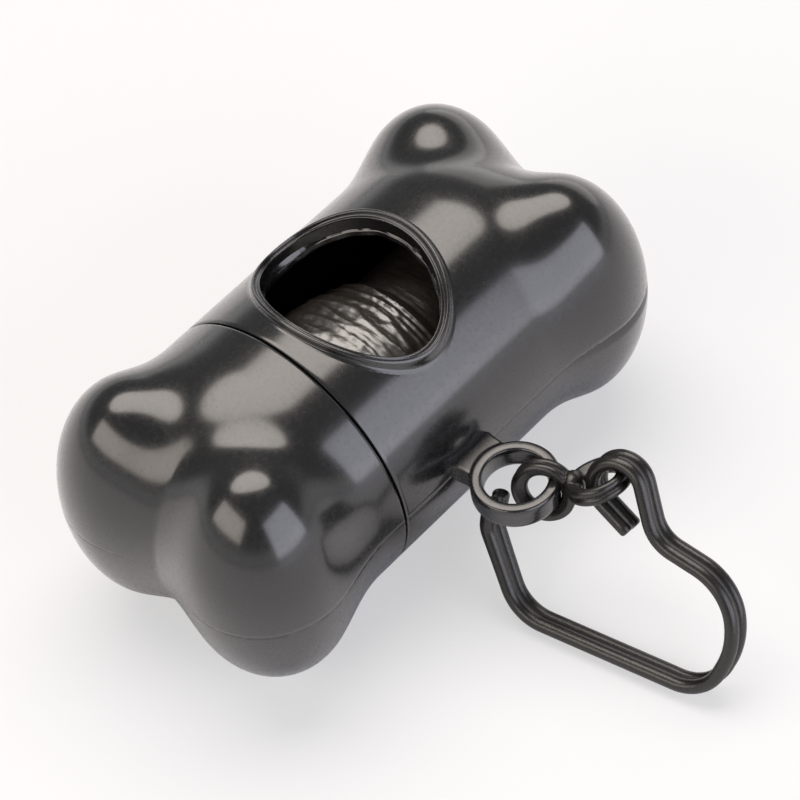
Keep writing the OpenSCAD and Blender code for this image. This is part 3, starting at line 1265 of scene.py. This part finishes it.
        def place(u: np.ndarray, v: np.ndarray) -> np.ndarray:
            """Lay the outline along the middle line.

            Args:
                u: shares of the way from the tip to the tail.
                v: shares of the way round the outline.

            Returns:
                Rows of points.
            """
            at = line[np.rint(u * stations).astype(int)]
            from_tip = u * stations * self.station / self.flare_len
            flare = 1 + self.tip_flare * np.clip(1 - from_tip, 0, 1) ** 2
            out = outline[np.rint(v * count).astype(int) % count] * flare[:, None]
            x = at[:, 0] + out[:, 0] * np.sin(at[:, 2])
            y = at[:, 1] - out[:, 0] * np.cos(at[:, 2])
            return np.column_stack([x, y, out[:, 1]])

        bm = mapped_grid(stations, count, place)
        fill_rims(bm)
        # The cut ends: a rounded edge, a raised face, and a dent where the strip was nipped off
        for thickness, depth in ((0.14, 0.26), (0.2, 0.1), (0.14, -0.3)):
            ends = [f for f in bm.faces if len(f.verts) > 4]
            bmesh.ops.inset_region(bm, faces=ends, thickness=thickness, depth=depth)
        bevel_sharp(bm, 0.1, sharp=60)
        u, s, across = self.axes()
        origin = self.eye_centre() - self.eye_u * u - self.eye_s() * s
        turn = Matrix((u, s, across)).transposed().to_4x4()
        bmesh.ops.transform(bm, matrix=Matrix.Translation(origin) @ turn, verts=bm.verts)
        return to_object(bm, "leash_clip", "clip", MOULDED_ACETAL, ["clip_hook"])


# ---- Studio ----


def towards(azimuth: float, elevation: float) -> Vector:
    """Unit vector towards an azimuth, counted from -Y to +X, and an elevation, in degrees."""
    a, e = math.radians(azimuth), math.radians(elevation)
    return Vector((math.sin(a) * math.cos(e), -math.cos(a) * math.cos(e), math.sin(e)))


@dataclass(frozen=True)
class SoftBox:
    """A soft light that fills a patch of the sky round the object, in degrees and metres."""

    name: str
    azimuth: float
    elevation: float
    wide: float
    tall: float
    distance: float
    radiance: float
    colour: str
    shape: str = "RECTANGLE"

    def build(self) -> None:
        """Add the light, facing the object."""
        away = towards(self.azimuth, self.elevation)
        lamp = bpy.data.lights.new(self.name, "AREA")
        lamp.shape = self.shape
        lamp.size = 2 * self.distance * math.tan(math.radians(self.wide / 2))
        lamp.size_y = 2 * self.distance * math.tan(math.radians(self.tall / 2))
        filled = math.pi / 4 if self.shape == "ELLIPSE" else 1.0
        lamp.energy = self.radiance * math.pi * lamp.size * lamp.size_y * filled
        lamp.color = linear(self.colour)[:3]
        obj = in_scene(self.name, lamp)
        turn = away.to_track_quat("Z", "Y").to_matrix().to_4x4()
        obj.matrix_world = Matrix.Translation(away * self.distance) @ turn


@dataclass
class Studio:
    """Camera, lights, floor and background."""

    azimuth: float = -41.23
    elevation: float = 50.26
    roll: float = -9.14
    distance: float = 470.2
    shift_right: float = 5.54
    shift_up: float = -2.10
    lens: float = 162.0
    floor_z: float = -20.0
    floor_half: float = 3.0
    shadow_lift: float = 0.5
    shadow_zone: tuple[float, float] = (0.10, 0.45)
    room_glow: float = 0.20
    horizon_glow: float = 0.75
    horizon_top: float = 0.10
    horizon_fade: float = 0.16
    lights: tuple[SoftBox, ...] = (
        SoftBox("warm softbox", -100, 33, 54, 28, 0.9, 3.0, "#fff4ea"),
        SoftBox("cool softbox", 3, 22, 54, 40, 0.9, 2.8, "#f1f1ff"),
        SoftBox("overhead panel", 142, 71, 66, 42, 1.1, 4.4, "#fff6ee", "ELLIPSE"),
        SoftBox("far side panel", 108, 12, 60, 24, 1.3, 0.8, "#fffaf6", "ELLIPSE"),
    )

    def camera(self) -> None:
        """Add the camera at the photograph's angle."""
        a, r = math.radians(self.azimuth), math.radians(self.roll)
        back = towards(self.azimuth, self.elevation)
        level = Vector((math.cos(a), math.sin(a), 0))
        right = level * math.cos(r) + back.cross(level) * math.sin(r)
        up = back.cross(right)
        data = bpy.data.cameras.new("camera")
        data.lens = self.lens
        data.sensor_width = 36.0
        data.clip_start = 0.01
        obj = in_scene("camera", data)
        place = (right * self.shift_right + up * self.shift_up + back * self.distance) * MM
        turn = Matrix((right, up, back)).transposed().to_4x4()
        obj.matrix_world = Matrix.Translation(place) @ turn
        bpy.context.scene.camera = obj

    def floor(self) -> None:
        """Add the plain pale floor.

        The camera sees its shadows half lifted to white, and nothing but white further away. The
        object has no metal or glass, so its reflections keep the plain floor and the dim room.
        """
        bm = bmesh.new()
        bmesh.ops.create_grid(bm, x_segments=1, y_segments=1, size=self.floor_half)
        drop = 0.05
        bmesh.ops.translate(bm, verts=bm.verts, vec=(0, 0, (self.floor_z - drop) * MM))
        mesh = bpy.data.meshes.new("floor")
        bm.to_mesh(mesh)
        bm.free()
        made = bpy.data.materials.new("white card, matt")
        made.use_nodes = True
        tree = made.node_tree
        tree.nodes.clear()
        inputs = {"Base Color": linear("#dadbde"), "Roughness": 0.85}
        card = add_node(tree, "ShaderNodeBsdfPrincipled", inputs).outputs["BSDF"]
        inputs = {"Color": linear("#ffffff"), "Strength": 1.0}
        white = add_node(tree, "ShaderNodeEmission", inputs).outputs["Emission"]
        camera_ray = add_node(tree, "ShaderNodeLightPath").outputs["Is Camera Ray"]
        inputs = {"0": add_node(tree, "ShaderNodeTexCoord").outputs["Object"]}
        away = add_node(tree, "ShaderNodeVectorMath", inputs, operation="LENGTH").outputs["Value"]
        near, far = self.shadow_zone
        inputs = {"Value": away, "From Min": near, "From Max": far, "To Min": self.shadow_lift}
        lift = add_node(tree, "ShaderNodeMapRange", inputs).outputs["Result"]
        inputs = {"Value": camera_ray, "To Max": lift}
        whiteness = add_node(tree, "ShaderNodeMapRange", inputs).outputs["Result"]
        mixed = add_node(tree, "ShaderNodeMixShader", {"0": whiteness, "1": card, "2": white})
        add_node(tree, "ShaderNodeOutputMaterial", {"Surface": mixed.outputs["Shader"]})
        mesh.materials.append(made)
        in_scene("floor", mesh)

    def world(self) -> None:
        """Light the room dimly, brighter at the horizon, with a white background for the camera."""
        world = bpy.data.worlds.new("studio")
        bpy.context.scene.world = world
        world.use_nodes = True
        tree = world.node_tree
        tree.nodes.clear()
        camera_ray = add_node(tree, "ShaderNodeLightPath").outputs["Is Camera Ray"]
        way = add_node(tree, "ShaderNodeTexCoord").outputs["Generated"]
        height = add_node(tree, "ShaderNodeSeparateXYZ", {"Vector": way}).outputs["Z"]
        inputs = {
            "Value": height,
            "From Min": self.horizon_top,
            "From Max": self.horizon_top + self.horizon_fade,
            "To Min": self.horizon_glow,
            "To Max": self.room_glow,
        }
        glow = add_node(tree, "ShaderNodeMapRange", inputs).outputs["Result"]
        inputs = {"Value": camera_ray, "To Min": glow}
        strength = add_node(tree, "ShaderNodeMapRange", inputs).outputs["Result"]
        inputs = {"Color": linear("#ffffff"), "Strength": strength}
        light = add_node(tree, "ShaderNodeBackground", inputs)
        add_node(tree, "ShaderNodeOutputWorld", {"Surface": light.outputs["Background"]})

    def build(self) -> None:
        """Set up the studio and the plain view transform."""
        self.camera()
        self.floor()
        self.world()
        for light in self.lights:
            light.build()
        bpy.context.scene.view_settings.view_transform = "Standard"


def main() -> None:
    """Build the holder piece by piece, log each piece's number of faces, then build the studio."""
    logging.basicConfig(level=logging.INFO, format="%(name)s: %(message)s")
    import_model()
    link = TwistedLink()
    pieces = [*Shells().build(), *ScrewJoint().build(), *BagRoll().build()]
    pieces += [link.build(), ClipHook(link).build()]
    for piece in pieces:
        LOG.info("%s: %d faces", piece.name, len(piece.data.polygons))
    Studio().build()


if __name__ == "__main__":
    main()
